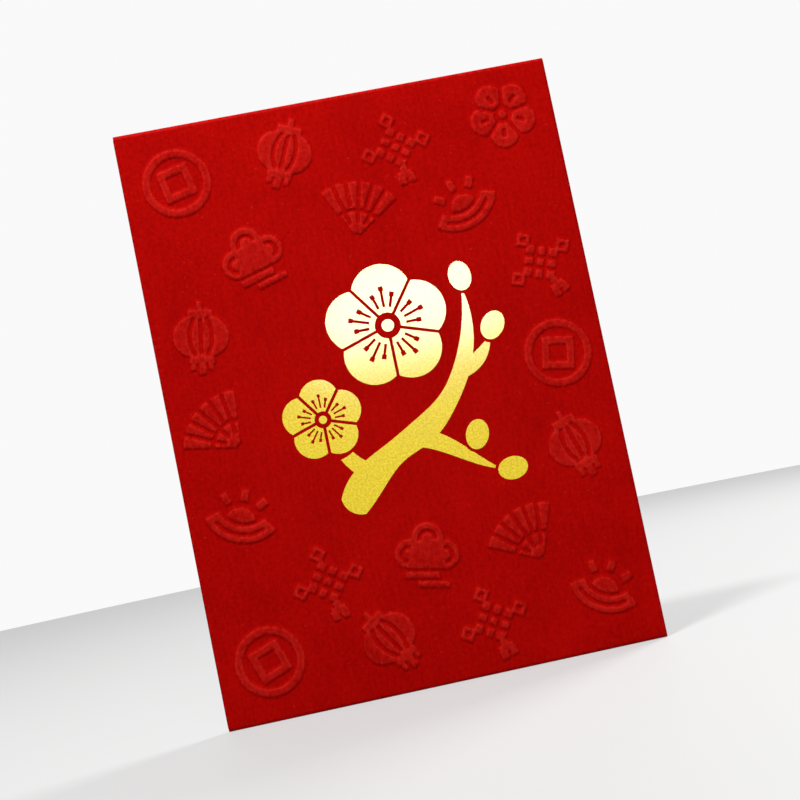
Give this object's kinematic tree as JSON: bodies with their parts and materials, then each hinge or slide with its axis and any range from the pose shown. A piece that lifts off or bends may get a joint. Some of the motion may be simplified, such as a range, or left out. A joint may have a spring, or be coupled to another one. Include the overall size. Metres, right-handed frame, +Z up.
{
  "type": "red envelope",
  "caption": "Flat upright gift envelope of red card with raised luck motifs, a gold foil blossom sprig and a flap that folds over the mouth of its pocket.",
  "frame": {"origin": "under the middle of the envelope, at the outside of the bottom fold, half way through its depth", "axes": "+X to the right seen from the front, +Y from the front to the back, +Z up towards the top crease"},
  "size_m": [0.085, 0.002, 0.115],
  "materials": {
    "red_card": "dyed card, satin",
    "gold_foil": "hot-stamped metallic gold",
    "seam_glue": "dried paper glue",
    "flap_gum": "dried clear gum"
  },
  "bodies": {
    "pocket": {"front_panel": "red_card", "left_fold": "red_card", "right_fold": "red_card", "left_tab": "red_card", "right_tab": "red_card", "left_seam_glue": "seam_glue", "right_seam_glue": "seam_glue", "bottom_fold": "red_card", "back_panel": "red_card", "closing_fold": "red_card", "foil_branch": "gold_foil", "foil_large_blossom": "gold_foil", "foil_small_blossom": "gold_foil", "foil_buds": "gold_foil"},
    "flap": {"closing_flap": "red_card", "gum_strip": "flap_gum"}
  },
  "joints": [
    {"name": "flap_crease", "type": "hinge", "parent": "pocket", "child": "flap", "pos_m": [0, 0.00013, 0.11407], "axis": [1, 0, 0], "range_deg": [0, 178], "deforming": ["closing_fold"]}
  ]
}
